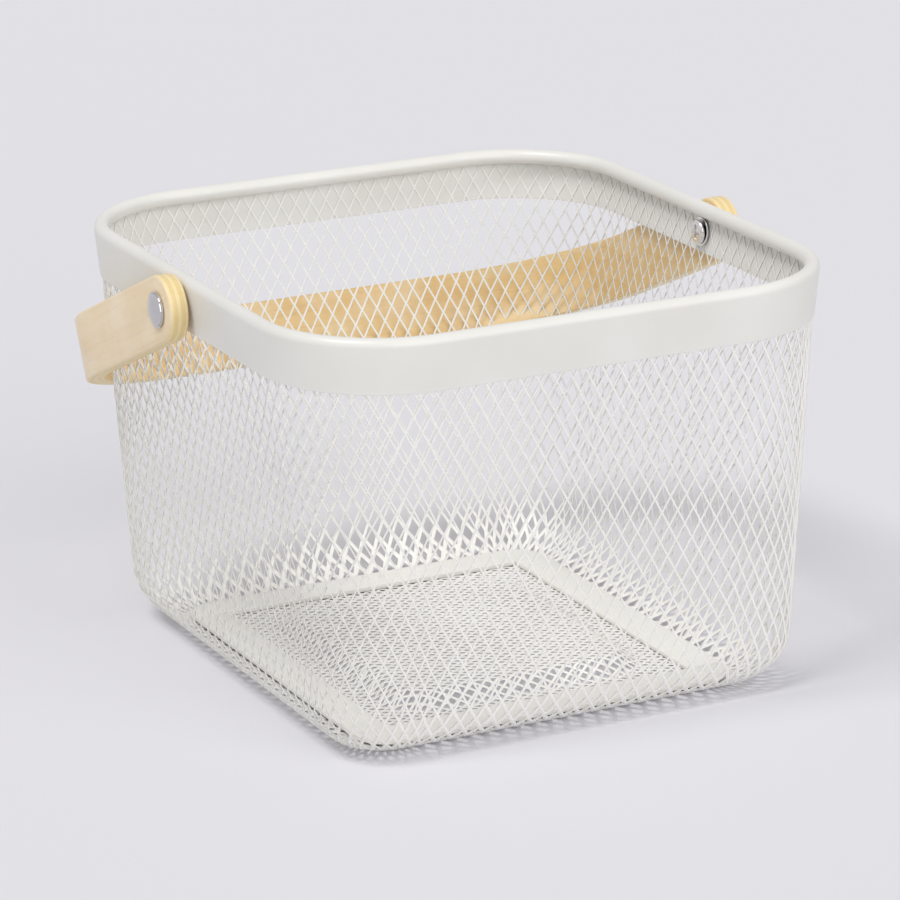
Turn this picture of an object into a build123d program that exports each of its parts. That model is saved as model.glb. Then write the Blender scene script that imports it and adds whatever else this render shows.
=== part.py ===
from build123d import *
import math
import os

# A wire locker basket with a bent plywood handle.
# Lengths are millimetres and angles are degrees.
# X runs across the two pivots, Y from the front wall to the back wall, Z up from the floor.
# Shapes are made about the middle of the basket, and moved to the origin when they are written.

# Basket as a whole
basket_width = 250.0
basket_depth = 267.0
basket_height = 184.0
corner_radius = 55.5
wall_lean = 5.65

# Rim band: one strip of sheet, rolled inwards along its top edge
band_height = 23.0
band_sheet = 1.0
curl_radius = 3.3
curl_turn = 300.0

# Wall mesh: expanded sheet inside the band, bent under at the floor
mesh_sheet = 1.0
mesh_seat_gap = 0.1
mesh_tuck = 6.0
strand_width = 1.2
gap_pitch_wide = 10.2
gap_pitch_tall = 15.4
gap_border = 0.6
bend_radius = 24.8
flange_width = 10.0
foot_pitch_wide = 12.6
foot_gap_rows = 2

# Base: four strips over an embossed panel of fine mesh
strip_width = 16.5
strip_sheet = 2.0
strip_overhang = 18.0
strip_joint_gap = 0.3
panel_sheet = 0.8
panel_reach = 12.0
plateau_step = 6.0
plateau_foot_inset = 10.5
plateau_slope_run = 9.0
plateau_corner_radius = 10.0
fine_strand_width = 2.2
fine_pitch = 12.6
fine_border = 1.0

# Handle: bent plywood strap, resting on the back wall
handle_width = 28.0
handle_sheet = 8.2
handle_side_gap = 0.8
handle_reach = 143.0
handle_bend_radius = 60.0
handle_rest_angle = 23.6
handle_edge_round = 1.0

# Pivot on each side: barrel nut outside, screw and washer inside
pivot_height = 170.5
shank_radius = 3.0
running_clearance = 0.06
band_hole_clearance = 0.2
side_play = 0.3
spacer_radius = 6.0
nut_head_radius = 7.6
nut_head_rim = 0.9
nut_head_height = 2.8
nut_bore_depth = 9.0
screw_radius = 2.0
screw_clearance = 0.08
screw_head_radius = 4.6
screw_head_height = 2.4
washer_radius = 6.4
washer_sheet = 1.0
washer_hole_clearance = 0.4
recess_length = 5.0
recess_width = 1.1
recess_depth = 1.3

# One overrun serves all cuts
overrun = 5.0

lean = math.radians(wall_lean)
out_s = math.cos(lean)
out_z = -math.sin(lean)
axis_x = basket_width / 2 - corner_radius
axis_y = basket_depth / 2 - corner_radius
curl_s = corner_radius - curl_radius
curl_z = basket_height - curl_radius
handle_inner_x = basket_width / 2 + handle_side_gap
strap_round = min(handle_edge_round, handle_sheet / 3)

# The origin stands at the middle of the whole footprint, folded handle included
rest_turn = math.radians(handle_rest_angle)
handle_back_y = (handle_reach + handle_sheet - strap_round) * math.cos(rest_turn)
handle_back_y += (handle_width / 2 - strap_round) * math.sin(rest_turn) + strap_round
footprint_middle_y = (handle_back_y - basket_depth / 2) / 2


def wall_point(depth, drop):
    """Profile point at a depth inwards from the band's outer face, a drop down its slope.

    The profile's first number, s, is measured outwards from the corner's vertical axis.
    """
    reach = curl_radius - depth
    point_s = curl_s + reach * out_s + drop * out_z
    point_z = curl_z + reach * out_z - drop * out_s
    return point_s, point_z


def drop_to(height, depth):
    """Drop down the slope at which a line at this depth reaches a height."""
    return (wall_point(depth, 0)[1] - height) / out_s


mesh_depth = band_sheet + mesh_seat_gap
inner_depth = mesh_depth + mesh_sheet
wall_line = out_s * wall_point(mesh_depth, 0)[0] + out_z * wall_point(mesh_depth, 0)[1]
bend_s = (wall_line - bend_radius - bend_radius * out_z) / out_s
bend_top_z = bend_radius + bend_radius * out_z
bend_drop = drop_to(bend_top_z, mesh_depth)
mesh_top_drop = curl_radius + mesh_tuck
band_drop = drop_to(basket_height - band_height, 0)


def quarter(profile, turn, side_x, side_y):
    """Profile swept round one rounded corner of the basket."""
    swept = revolve(Plane.XZ * profile, axis=Axis.Z, revolution_arc=90)
    return Pos(side_x * axis_x, side_y * axis_y, 0) * Rot(0, 0, turn) * swept


def straight(profile, turn):
    """Profile run along one straight side of the basket."""
    along = axis_y if turn % 180 == 0 else axis_x
    offset = axis_x if turn % 180 == 0 else axis_y
    run = extrude(Plane.XZ * profile, amount=along, both=True)
    return Rot(0, 0, turn) * Pos(offset, 0, 0) * run


def closed_ring(profile):
    """Profile run right round the basket as one solid."""
    corners = [quarter(profile, 0, 1, 1), quarter(profile, 90, -1, 1)]
    corners += [quarter(profile, 180, -1, -1), quarter(profile, 270, 1, -1)]
    sides = [straight(profile, turn) for turn in (0, 90, 180, 270)]
    return corners[0] + (corners[1:] + sides)


def pivot_hole(radius):
    """Cylinder on the hinge axis, through both sides."""
    length = basket_width + 2 * (handle_side_gap + handle_sheet + overrun)
    return Pos(0, 0, pivot_height) * Rot(0, 90, 0) * Cylinder(radius, length)


def make_rim_band():
    """Sheet band with its top edge rolled into a curl that opens towards the mesh."""
    tube = Circle(curl_radius) - Circle(curl_radius - band_sheet)
    reach = 2 * curl_radius
    start = math.radians(curl_turn - wall_lean)
    end = math.radians(360 - wall_lean)
    middle = (start + end) / 2
    rays = [(reach * math.cos(a), reach * math.sin(a)) for a in (start, middle, end)]
    tube = Pos(curl_s, curl_z) * (tube - Polygon((0, 0), *rays, align=None))
    corners = [wall_point(0, 0), wall_point(0, band_drop)]
    corners += [wall_point(band_sheet, band_drop), wall_point(band_sheet, 0)]
    profile = tube + Polygon(*corners, align=None)
    return closed_ring(profile) - pivot_hole(shank_radius + band_hole_clearance)


def diamond(wide, tall, strand):
    """Gap of one lattice cell, narrowed by half a strand along each edge."""
    edge_distance = wide * tall / 2 / math.hypot(wide, tall)
    open_share = 1 - strand / 2 / edge_distance
    half_x = wide / 2 * open_share
    half_y = tall / 2 * open_share
    return Polygon((half_x, 0), (0, half_y), (-half_x, 0), (0, -half_y), align=None)


def lattice(width, height, pitch_x, pitch_y):
    """Centres of a diamond lattice of whole cells over a rectangle, and its cell size."""
    columns = max(1, round(width / pitch_x))
    rows = max(1, round(height / pitch_y))
    wide = width / columns
    tall = height / rows
    places = []
    for row in range(2 * rows + 1):
        for column in range(2 * columns + 1):
            if (row + column) % 2 == 0:
                places.append((column, row))
    centres = [(c * wide / 2 - width / 2, r * tall / 2 - height / 2) for c, r in places]
    return centres, wide, tall


def holed_face(width, height, pitch_x, pitch_y, strand, border):
    """Flat net: the diamond gaps that lie inside a rectangle's border."""
    centres, wide, tall = lattice(width, height, pitch_x, pitch_y)
    gap = diamond(wide, tall, strand)
    window = Rectangle(width - 2 * border, height - 2 * border)
    gaps = []
    for x, y in centres:
        inside_x = abs(x) + wide / 2 < width / 2 + border
        inside_y = abs(y) + tall / 2 < height / 2 + border
        placed = Pos(x, y) * gap
        gaps.append(placed if inside_x and inside_y else placed & window)
    return Rectangle(width, height) - gaps


def make_flat_wall(half, offset):
    """Straight stretch of wall mesh, from under the curl to the start of the bend, facing +X."""
    net_height = bend_drop - band_drop
    tuck_height = band_drop - mesh_top_drop
    net = holed_face(2 * half, net_height, gap_pitch_wide, gap_pitch_tall, strand_width, gap_border)
    tuck = Pos(0, (net_height + tuck_height) / 2) * Rectangle(2 * half, tuck_height)
    middle_s, middle_z = wall_point(mesh_depth, (bend_drop + band_drop) / 2)
    face_plane = Plane(origin=(middle_s, 0, middle_z), x_dir=(0, 1, 0), z_dir=(out_s, 0, out_z))
    return Pos(offset, 0, 0) * extrude(face_plane * (net + tuck), amount=-mesh_sheet)


def corner_gap_prisms():
    """Diamond prisms that pierce one corner's mesh square to its surface."""
    columns = max(1, round(math.pi / 2 * wall_point(mesh_depth, band_drop)[0] / gap_pitch_wide))
    net_height = bend_drop - band_drop
    rows = max(1, round(net_height / gap_pitch_tall))
    tall = net_height / rows
    prisms = []
    for row in range(1, 2 * rows):
        first = 1 if row % 2 == 1 else 2
        for column in range(first, 2 * columns, 2):
            turn = 90 * column / (2 * columns)
            point_s, point_z = wall_point(mesh_depth, bend_drop - row * tall / 2)
            wide = math.radians(90 / columns) * point_s
            face_plane = Plane(origin=(point_s, 0, point_z), x_dir=(0, 1, 0), z_dir=(out_s, 0, out_z))
            prism = extrude(face_plane * diamond(wide, tall, strand_width), amount=2 * mesh_sheet, both=True)
            prisms.append(Rot(0, 0, turn) * prism)
    return prisms


def make_corner_wall():
    """Mesh round the corner between the right and the back wall, on its own axis."""
    corners = [wall_point(mesh_depth, mesh_top_drop), wall_point(mesh_depth, bend_drop)]
    corners += [wall_point(inner_depth, bend_drop), wall_point(inner_depth, mesh_top_drop)]
    profile = Polygon(*corners, align=None)
    swept = revolve(Plane.XZ * profile, axis=Axis.Z, revolution_arc=90)
    return swept - corner_gap_prisms()


def foot_profile():
    """Section of the bend at the foot and of the flange that the basket stands on."""
    inner_radius = bend_radius - mesh_sheet
    centre = (bend_s, bend_radius)
    outer_top = (bend_s + bend_radius * out_s, bend_radius + bend_radius * out_z)
    inner_top = (bend_s + inner_radius * out_s, bend_radius + inner_radius * out_z)
    half_turn = math.radians((90 - wall_lean) / 2)
    mid_s = math.sin(half_turn)
    mid_z = math.cos(half_turn)
    outer_mid = (centre[0] + bend_radius * mid_s, centre[1] - bend_radius * mid_z)
    inner_mid = (centre[0] + inner_radius * mid_s, centre[1] - inner_radius * mid_z)
    outer_low = (bend_s, 0)
    inner_low = (bend_s, mesh_sheet)
    flange_s = bend_s - flange_width
    edges = ThreePointArc(outer_top, outer_mid, outer_low)
    edges += Line(outer_low, (flange_s, 0))
    edges += Line((flange_s, 0), (flange_s, mesh_sheet))
    edges += Line((flange_s, mesh_sheet), inner_low)
    edges += ThreePointArc(inner_low, inner_mid, inner_top)
    edges += Line(inner_top, outer_top)
    return make_face(edges)


def foot_gap(share, wide, place):
    """Diamond prism that pierces the bend facing +X, at a share of its arc from the top."""
    angle = lean + share * (math.pi / 2 - lean)
    tall = bend_radius * (math.pi / 2 - lean) / foot_gap_rows
    facing = (math.cos(angle), 0, -math.sin(angle))
    point = (bend_s + bend_radius * math.cos(angle), place, bend_radius - bend_radius * math.sin(angle))
    face_plane = Plane(origin=point, x_dir=(0, 1, 0), z_dir=facing)
    gap = face_plane * diamond(wide, tall, strand_width)
    return extrude(gap, amount=4 * mesh_sheet, both=True)


def foot_rows(columns):
    """Arc shares of the gap rows in the bend, each with its columns counted in half cells."""
    rows = []
    for row in range(1, 2 * foot_gap_rows):
        first = 1 if row % 2 == 1 else 2
        rows.append((row / (2 * foot_gap_rows), range(first, 2 * columns, 2)))
    return rows


def make_foot_side(profile, turn):
    """Straight stretch of the foot, with its gaps, along one side of the basket."""
    along = axis_y if turn % 180 == 0 else axis_x
    columns = round(2 * along / foot_pitch_wide)
    wide = 2 * along / columns
    gaps = []
    for share, cells in foot_rows(columns):
        gaps += [foot_gap(share, wide, cell * wide / 2 - along) for cell in cells]
    offset = axis_x if turn % 180 == 0 else axis_y
    run = extrude(Plane.XZ * profile, amount=along, both=True) - gaps
    return Rot(0, 0, turn) * Pos(offset, 0, 0) * run


def make_foot_corner(profile):
    """Foot round the corner between the right and the back side, on its own axis."""
    columns = round(math.pi / 2 * (bend_s + bend_radius) / foot_pitch_wide)
    gaps = []
    for share, cells in foot_rows(columns):
        angle = lean + share * (math.pi / 2 - lean)
        wide = math.radians(90 / columns) * (bend_s + bend_radius * math.cos(angle))
        gaps += [Rot(0, 0, 90 * cell / (2 * columns)) * foot_gap(share, wide, 0) for cell in cells]
    swept = revolve(Plane.XZ * profile, axis=Axis.Z, revolution_arc=90)
    return swept - gaps


def make_wall_foot():
    """Lower bend of the wall mesh and its flange, which the basket stands on."""
    profile = foot_profile()
    corner = make_foot_corner(profile)
    pieces = [make_foot_side(profile, turn) for turn in (0, 90, 180, 270)]
    pieces += [placed_corner(corner, 0, 1, 1), placed_corner(corner, 90, -1, 1)]
    pieces += [placed_corner(corner, 180, -1, -1), placed_corner(corner, 270, 1, -1)]
    return pieces[0] + pieces[1:]


def rounded_slab(reach, low, high):
    """Flat slab whose edge stays a set reach outside the corner axes."""
    outline = RectangleRounded(2 * (axis_x + reach), 2 * (axis_y + reach), reach)
    return Pos(0, 0, low) * extrude(outline, amount=high - low)


strip_low = mesh_sheet + panel_sheet
strip_high = strip_low + strip_sheet
strip_inner_x = axis_x + strip_overhang - strip_width
strip_inner_y = axis_y + strip_overhang - strip_width


def make_end_strip(side_y):
    """Front or back strip of the base frame, with the frame's rounded outer corners."""
    slab = rounded_slab(strip_overhang, strip_low, strip_high)
    width = 2 * (axis_x + strip_overhang)
    keep = Box(width, strip_width, 2 * strip_high)
    return slab & Pos(0, side_y * (strip_inner_y + strip_width / 2), strip_low) * keep


def make_side_strip(side_x):
    """Left or right strip, butted between the front and back strips."""
    length = 2 * (strip_inner_y - strip_joint_gap)
    middle_x = side_x * (strip_inner_x + strip_width / 2)
    return Pos(middle_x, 0, (strip_low + strip_high) / 2) * Box(strip_width, length, strip_sheet)


def plateau(shrink, low, high):
    """Frustum of the raised middle, narrowed by a shrink on every side."""
    run_share = plateau_slope_run / plateau_step
    foot_x = strip_inner_x - plateau_foot_inset - shrink
    foot_y = strip_inner_y - plateau_foot_inset - shrink
    foot_radius = plateau_corner_radius + (plateau_step + panel_sheet) * run_share - shrink
    run = (high - low) * run_share
    foot = RectangleRounded(2 * foot_x, 2 * foot_y, foot_radius)
    top = RectangleRounded(2 * (foot_x - run), 2 * (foot_y - run), foot_radius - run)
    return loft([Pos(0, 0, low) * foot, Pos(0, 0, high) * top], ruled=True)


def make_base_panel():
    """Fine mesh floor, embossed upwards in the middle and held under the strips."""
    low = mesh_sheet
    high = low + panel_sheet
    panel = rounded_slab(panel_reach, low, high) + plateau(0, low, high + plateau_step)
    wall_shrink = panel_sheet * math.hypot(plateau_step, plateau_slope_run) / plateau_step
    panel -= plateau(wall_shrink, low, low + plateau_step)
    size_x = 2 * strip_inner_x
    size_y = 2 * strip_inner_y
    outline = Rectangle(size_x, size_y)
    net = holed_face(size_x, size_y, fine_pitch, fine_pitch, fine_strand_width, fine_border)
    gaps = extrude(Pos(0, 0, low) * (outline - net), amount=2 * plateau_step)
    return panel - gaps


def handle_path(inner_x, reach, radius):
    """Plan of the handle's U, filled in, from the pivots to its crossbar."""
    back = handle_width
    outline = Pos(0, (reach - back) / 2) * Rectangle(2 * inner_x, reach + back)
    far = outline.vertices().group_by(Axis.Y)[-1]
    return fillet(far, radius)


def handle_place():
    """Where the handle's own frame lies at rest: pivots at its origin, arms along its Y."""
    return Pos(0, 0, pivot_height) * Rot(-handle_rest_angle, 0, 0)


def make_handle():
    """Bent plywood strap with rounded ends and a pivot hole in each arm."""
    outer_x = handle_inner_x + handle_sheet
    outer = handle_path(outer_x, handle_reach + handle_sheet, handle_bend_radius + handle_sheet)
    inner = handle_path(handle_inner_x, handle_reach, handle_bend_radius)
    strap = extrude(outer - inner, amount=handle_width / 2, both=True)
    length = handle_reach + handle_sheet
    side = Pos(length / 2, 0) * Rectangle(length, handle_width) + Circle(handle_width / 2)
    side_plane = Plane(origin=(0, 0, 0), x_dir=(0, 1, 0), z_dir=(1, 0, 0))
    strap &= extrude(side_plane * side, amount=outer_x, both=True)
    levels = strap.edges().group_by(Axis.Z)
    long_edges = [edge for edge in levels[0] + levels[-1] if edge.length > 2 * handle_sheet]
    strap = fillet(long_edges, strap_round)
    strap -= Rot(0, 90, 0) * Cylinder(shank_radius + running_clearance, 2 * (outer_x + overrun))
    return handle_place() * strap


def slope_plane(depth):
    """Plane square to the right wall at the pivot, at a depth in from the band's outer face."""
    drop = drop_to(pivot_height, depth)
    point_s, point_z = wall_point(depth, drop)
    return Plane(origin=(axis_x + point_s, 0, point_z), x_dir=(0, 1, 0), z_dir=(out_s, 0, out_z))


def along_pivot(radius, low_x, high_x):
    """Round bar on the hinge axis between two places across the basket."""
    bar = Rot(0, 90, 0) * Cylinder(radius, high_x - low_x)
    return Pos((low_x + high_x) / 2, 0, pivot_height) * bar


nut_head_x = handle_inner_x + handle_sheet + side_play
nut_end_x = slope_plane(inner_depth).origin.X + shank_radius * math.tan(lean)
screw_seat_x = slope_plane(inner_depth + washer_sheet).origin.X - screw_head_radius * math.tan(lean)


def make_barrel_nut():
    """Domed head outside the right arm, with the shank that the arm turns on."""
    cap_height = nut_head_height - nut_head_rim
    cap_radius = (nut_head_radius ** 2 + cap_height ** 2) / 2 / cap_height
    rim_x = nut_head_x + nut_head_rim
    top_x = nut_head_x + nut_head_height
    half_turn = math.asin(nut_head_radius / cap_radius) / 2
    middle = (top_x - cap_radius * (1 - math.cos(half_turn)), cap_radius * math.sin(half_turn))
    bore_radius = screw_radius + screw_clearance
    bore_x = nut_end_x + nut_bore_depth
    edges = ThreePointArc((rim_x, nut_head_radius), middle, (top_x, 0))
    edges += Polyline((top_x, 0), (bore_x, 0), (bore_x, bore_radius), (nut_end_x, bore_radius))
    edges += Polyline((nut_end_x, bore_radius), (nut_end_x, shank_radius), (nut_head_x, shank_radius))
    edges += Polyline((nut_head_x, shank_radius), (nut_head_x, nut_head_radius), (rim_x, nut_head_radius))
    turned = revolve(Plane.XZ * make_face(edges), axis=Axis.X)
    return Pos(0, 0, pivot_height) * turned


def make_spacer():
    """Bush between the band and the arm, cut to the lean of the band."""
    blank = along_pivot(spacer_radius, axis_x, handle_inner_x - side_play)
    outside = slope_plane(0) * extrude(Circle(basket_height), amount=basket_height)
    return (blank & outside) - pivot_hole(shank_radius + running_clearance)


def make_washer():
    """Flat washer on the inside of the mesh."""
    ring = Circle(washer_radius) - Circle(screw_radius + washer_hole_clearance)
    return extrude(slope_plane(inner_depth) * ring, amount=-washer_sheet)


def make_screw():
    """Cross recessed pan head screw, driven into the barrel nut from the inside."""
    tip_x = nut_end_x + nut_bore_depth - screw_radius
    head = along_pivot(screw_head_radius, screw_seat_x - screw_head_height, screw_seat_x)
    crown = head.edges().group_by(Axis.X)[0]
    head = fillet(crown, screw_head_height / 2)
    shaft = along_pivot(screw_radius, screw_seat_x, tip_x)
    recess_x = screw_seat_x - screw_head_height + recess_depth / 2
    bar = Box(recess_depth, recess_length, recess_width)
    cross = Pos(recess_x, 0, pivot_height) * (bar + Rot(90, 0, 0) * bar)
    return head + shaft - cross


def placed_corner(corner, turn, side_x, side_y):
    """The corner panel set at one of the four corners."""
    return Pos(side_x * axis_x, side_y * axis_y, 0) * Rot(0, 0, turn) * corner


def both_sides(name, shape):
    """Right hand piece and its mirror image on the left."""
    return {name + "_right": shape, name + "_left": mirror(shape, about=Plane.YZ)}


def build_nodes():
    """Every piece of the basket under its name."""
    side_wall = make_flat_wall(axis_y, axis_x) - pivot_hole(shank_radius + band_hole_clearance)
    end_wall = make_flat_wall(axis_x, axis_y)
    corner = make_corner_wall()
    nodes = {
        "rim_band": make_rim_band(),
        "wall_mesh_right": side_wall,
        "wall_mesh_left": Rot(0, 0, 180) * side_wall,
        "wall_mesh_back": Rot(0, 0, 90) * end_wall,
        "wall_mesh_front": Rot(0, 0, 270) * end_wall,
        "wall_mesh_corner_back_right": placed_corner(corner, 0, 1, 1),
        "wall_mesh_corner_back_left": placed_corner(corner, 90, -1, 1),
        "wall_mesh_corner_front_left": placed_corner(corner, 180, -1, -1),
        "wall_mesh_corner_front_right": placed_corner(corner, 270, 1, -1),
        "wall_mesh_foot": make_wall_foot(),
        "base_strip_front": make_end_strip(-1),
        "base_strip_back": make_end_strip(1),
        "base_strip_left": make_side_strip(-1),
        "base_strip_right": make_side_strip(1),
        "base_panel": make_base_panel(),
        "handle": make_handle(),
    }
    nodes.update(both_sides("barrel_nut", make_barrel_nut()))
    nodes.update(both_sides("handle_spacer", make_spacer()))
    nodes.update(both_sides("pivot_washer", make_washer()))
    nodes.update(both_sides("pivot_screw", make_screw()))
    return nodes


os.makedirs("parts", exist_ok=True)
for node_name, shape in build_nodes().items():
    placed = Pos(0, -footprint_middle_y, 0) * shape
    placed.label = node_name
    export_step(placed, "parts/" + node_name + ".step")
    print(node_name, round(placed.volume))
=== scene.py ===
"""Looks of a wire locker basket with a bent plywood handle.

The basket is expanded steel sheet, powder coated off-white, inside a rolled sheet band.
Lengths are metres. X runs across the two pivots, Y towards the folded handle, Z up.
"""

import logging
import math
from dataclasses import dataclass
from dataclasses import field
from enum import Enum
from typing import Callable
from typing import Sequence

import bmesh
import bpy
import numpy as np
from mathutils import Matrix
from mathutils import Vector

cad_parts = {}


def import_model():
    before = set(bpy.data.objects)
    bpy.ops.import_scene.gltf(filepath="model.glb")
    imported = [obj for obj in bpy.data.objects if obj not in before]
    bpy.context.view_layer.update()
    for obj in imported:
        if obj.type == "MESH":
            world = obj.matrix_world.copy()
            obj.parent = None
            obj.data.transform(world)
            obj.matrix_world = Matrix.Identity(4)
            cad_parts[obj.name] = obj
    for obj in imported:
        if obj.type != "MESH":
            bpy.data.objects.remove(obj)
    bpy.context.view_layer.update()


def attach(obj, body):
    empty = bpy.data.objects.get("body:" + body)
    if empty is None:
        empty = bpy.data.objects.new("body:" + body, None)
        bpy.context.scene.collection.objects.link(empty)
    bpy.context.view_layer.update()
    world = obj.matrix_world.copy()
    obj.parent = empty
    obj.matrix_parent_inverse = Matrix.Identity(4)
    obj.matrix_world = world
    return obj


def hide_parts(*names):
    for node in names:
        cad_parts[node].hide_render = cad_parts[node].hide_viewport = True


log = logging.getLogger("basket")

Point = tuple[float, float, float]
Pair = tuple[float, float]
Colour = tuple[int, int, int]
Socket = bpy.types.NodeSocket
Edge = bmesh.types.BMEdge

# Places nearer than this meet
TOUCH = 1e-5
# Points nearer than this are welded as they are drawn
WELD_GAP = 1e-6
# Lengths nearer than this are the same
SAME = 1e-12
# A face looks along an axis when its normal reaches this far that way
FACING = 0.9


class Body(Enum):
    """The two bodies that the pieces ride on."""

    BASKET = "basket"
    HANDLE = "handle"


class Slot(Enum):
    """The record's material slots."""

    PAINT = "painted_steel"
    PLYWOOD = "birch_plywood"
    BRIGHT = "bright_plating"
    ZINC = "zinc_plating"


def tone(red: int, green: int, blue: int) -> tuple[float, float, float, float]:
    """Turns a colour as seen on screen into the linear one that a shader takes.

    Args:
        red: Red from 0 to 255.
        green: Green from 0 to 255.
        blue: Blue from 0 to 255.

    Returns:
        Linear red, green, blue and a full alpha.
    """
    linear = []
    for part in (red, green, blue):
        share = part / 255
        linear.append(share / 12.92 if share <= 0.04045 else ((share + 0.055) / 1.055) ** 2.4)
    return linear[0], linear[1], linear[2], 1.0


def mixed(colour: Colour, share: float, grey: int = 0) -> Colour:
    """Mixes a share of a colour with a grey, black if none is given."""
    red, green, blue = (round(part * share + grey * (1 - share)) for part in colour)
    return red, green, blue


def direction(azimuth: float, height: float) -> Vector:
    """Direction at an azimuth from the front, and at a height above the horizon."""
    level = math.cos(height)
    return Vector((math.sin(azimuth) * level, -math.cos(azimuth) * level, math.sin(height)))


def run_of(edge: Edge) -> Vector:
    """How far an edge runs along each axis."""
    run = edge.verts[1].co - edge.verts[0].co
    return Vector((abs(run.x), abs(run.y), abs(run.z)))


# Work bench


class Workpiece:
    """One piece on the bench, shaped in edit mode by operators."""

    def __init__(self, name: str) -> None:
        """Names the object that a primitive has just added, and goes into edit mode."""
        self.object = bpy.context.object
        self.object.name = name
        self.object.data.name = name
        bpy.ops.object.mode_set(mode="EDIT")

    @staticmethod
    def clear() -> None:
        """Leaves edit mode and deselects everything."""
        if bpy.context.object is not None and bpy.context.object.mode != "OBJECT":
            bpy.ops.object.mode_set(mode="OBJECT")
        bpy.ops.object.select_all(action="DESELECT")

    @classmethod
    def grid(cls, name: str, columns: int, rows: int, wide: float, tall: float) -> "Workpiece":
        """Starts from a flat grid of cells whose first corner is the origin."""
        cls.clear()
        bpy.ops.mesh.primitive_grid_add(x_subdivisions=columns, y_subdivisions=rows, size=2)
        half = (columns * wide / 2, rows * tall / 2, 1)
        return cls(name).stretched(half, (half[0], half[1], 0))

    @classmethod
    def block(cls, name: str, low: Point, high: Point) -> "Workpiece":
        """Starts from a block between its lowest and its highest corner."""
        cls.clear()
        bpy.ops.mesh.primitive_cube_add(size=1)
        size = [b - a for a, b in zip(low, high)]
        return cls(name).stretched(size, [(a + b) / 2 for a, b in zip(low, high)])

    @classmethod
    def line(cls, name: str, points: Sequence[Point]) -> "Workpiece":
        """Draws a line of edges by extruding one point after the other.

        Args:
            name: Name of the piece.
            points: The points in order. A last point on the first one closes the line.

        Returns:
            The line, in edit mode and selected.
        """
        cls.clear()
        bpy.ops.mesh.primitive_plane_add(size=0.001)
        piece = cls(name)
        bpy.ops.mesh.select_mode(type="VERT")
        bpy.ops.mesh.merge(type="CENTER")
        bpy.ops.transform.translate(value=points[0])
        for before, after in zip(points[:-1], points[1:]):
            step = [b - a for a, b in zip(before, after)]
            bpy.ops.mesh.extrude_vertices_move(TRANSFORM_OT_translate={"value": step})
        piece.pick_all()
        piece.weld()
        return piece

    def stretched(self, size: Sequence[float], middle: Sequence[float]) -> "Workpiece":
        """Stretches what is selected about the origin, and then moves it."""
        bpy.ops.transform.resize(value=size, center_override=(0, 0, 0))
        bpy.ops.transform.translate(value=middle)
        return self

    def pick_all(self) -> None:
        """Selects the whole mesh."""
        bpy.ops.mesh.select_all(action="SELECT")

    def pick(self, kind: str, test: Callable[[object], bool]) -> None:
        """Selects the faces or edges that pass a test, and nothing else.

        Args:
            kind: FACE or EDGE.
            test: Takes a face or an edge, and says whether it is picked.
        """
        bpy.ops.mesh.select_mode(type=kind)
        bpy.ops.mesh.select_all(action="DESELECT")
        mesh = bmesh.from_edit_mesh(self.object.data)
        for part in mesh.faces if kind == "FACE" else mesh.edges:
            if test(part):
                part.select_set(True)
        bmesh.update_edit_mesh(self.object.data)

    def weld(self, gap: float = WELD_GAP) -> None:
        """Merges what is selected where points meet."""
        bpy.ops.mesh.remove_doubles(threshold=gap)

    def close_up(self, gap: float = TOUCH) -> None:
        """Welds the whole shape and turns its faces outwards."""
        self.pick_all()
        self.weld(gap)
        self.pick_all()
        bpy.ops.mesh.normals_make_consistent(inside=False)

    def run_on(self, step: Point) -> None:
        """Extrudes what is selected in a straight line."""
        bpy.ops.mesh.extrude_region_move(TRANSFORM_OT_translate={"value": step})

    def turn_on(self, centre: Point, axis: Point, angle: float, steps: int) -> None:
        """Spins what is selected round an axis through a point, in facets."""
        bpy.ops.mesh.spin(steps=steps, angle=-angle, center=centre, axis=axis)

    def round_edges(self, width: float, segments: int) -> None:
        """Bevels the selected edges."""
        bpy.ops.mesh.bevel(offset=width, segments=segments, affect="EDGES", clamp_overlap=True)

    def rotate(self, angle: float, axis: str, centre: Point) -> None:
        """Turns the whole mesh counter-clockwise round a main axis through a point."""
        self.pick_all()
        bpy.ops.transform.rotate(value=-angle, orient_axis=axis, center_override=centre)

    def move(self, step: Point) -> None:
        """Moves the whole mesh."""
        self.pick_all()
        bpy.ops.transform.translate(value=step)

    def points(self) -> np.ndarray:
        """Leaves edit mode and gives the points as rows."""
        bpy.ops.object.mode_set(mode="OBJECT")
        flat = np.zeros(len(self.object.data.vertices) * 3)
        self.object.data.vertices.foreach_get("co", flat)
        return flat.reshape(-1, 3)

    def place_points(self, shift: Callable[[np.ndarray], np.ndarray]) -> None:
        """Sends every point to a new place; the shift takes and gives them as rows."""
        self.object.data.vertices.foreach_set("co", shift(self.points()).ravel())
        self.object.data.update()
        bpy.ops.object.mode_set(mode="EDIT")

    def note_points(self, name: str, note: Callable[[np.ndarray], np.ndarray]) -> None:
        """Writes three values on every point; the note takes the points as rows."""
        values = note(self.points()).ravel()
        noted = self.object.data.attributes.new(name, "FLOAT_VECTOR", "POINT")
        noted.data.foreach_set("vector", values)
        bpy.ops.object.mode_set(mode="EDIT")

    def take_up(self) -> None:
        """Makes this piece the only one selected, in object mode."""
        self.clear()
        self.object.select_set(True)
        bpy.context.view_layer.objects.active = self.object

    def modifier(self, kind: str, **settings: object) -> None:
        """Adds a modifier with its settings and applies it.

        Args:
            kind: The modifier's type.
            settings: Its values by name.
        """
        self.take_up()
        bpy.ops.object.modifier_add(type=kind)
        added = self.object.modifiers[-1]
        for name, value in settings.items():
            setattr(added, name, value)
        bpy.ops.object.modifier_apply(modifier=added.name)
        bpy.ops.object.mode_set(mode="EDIT")

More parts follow.
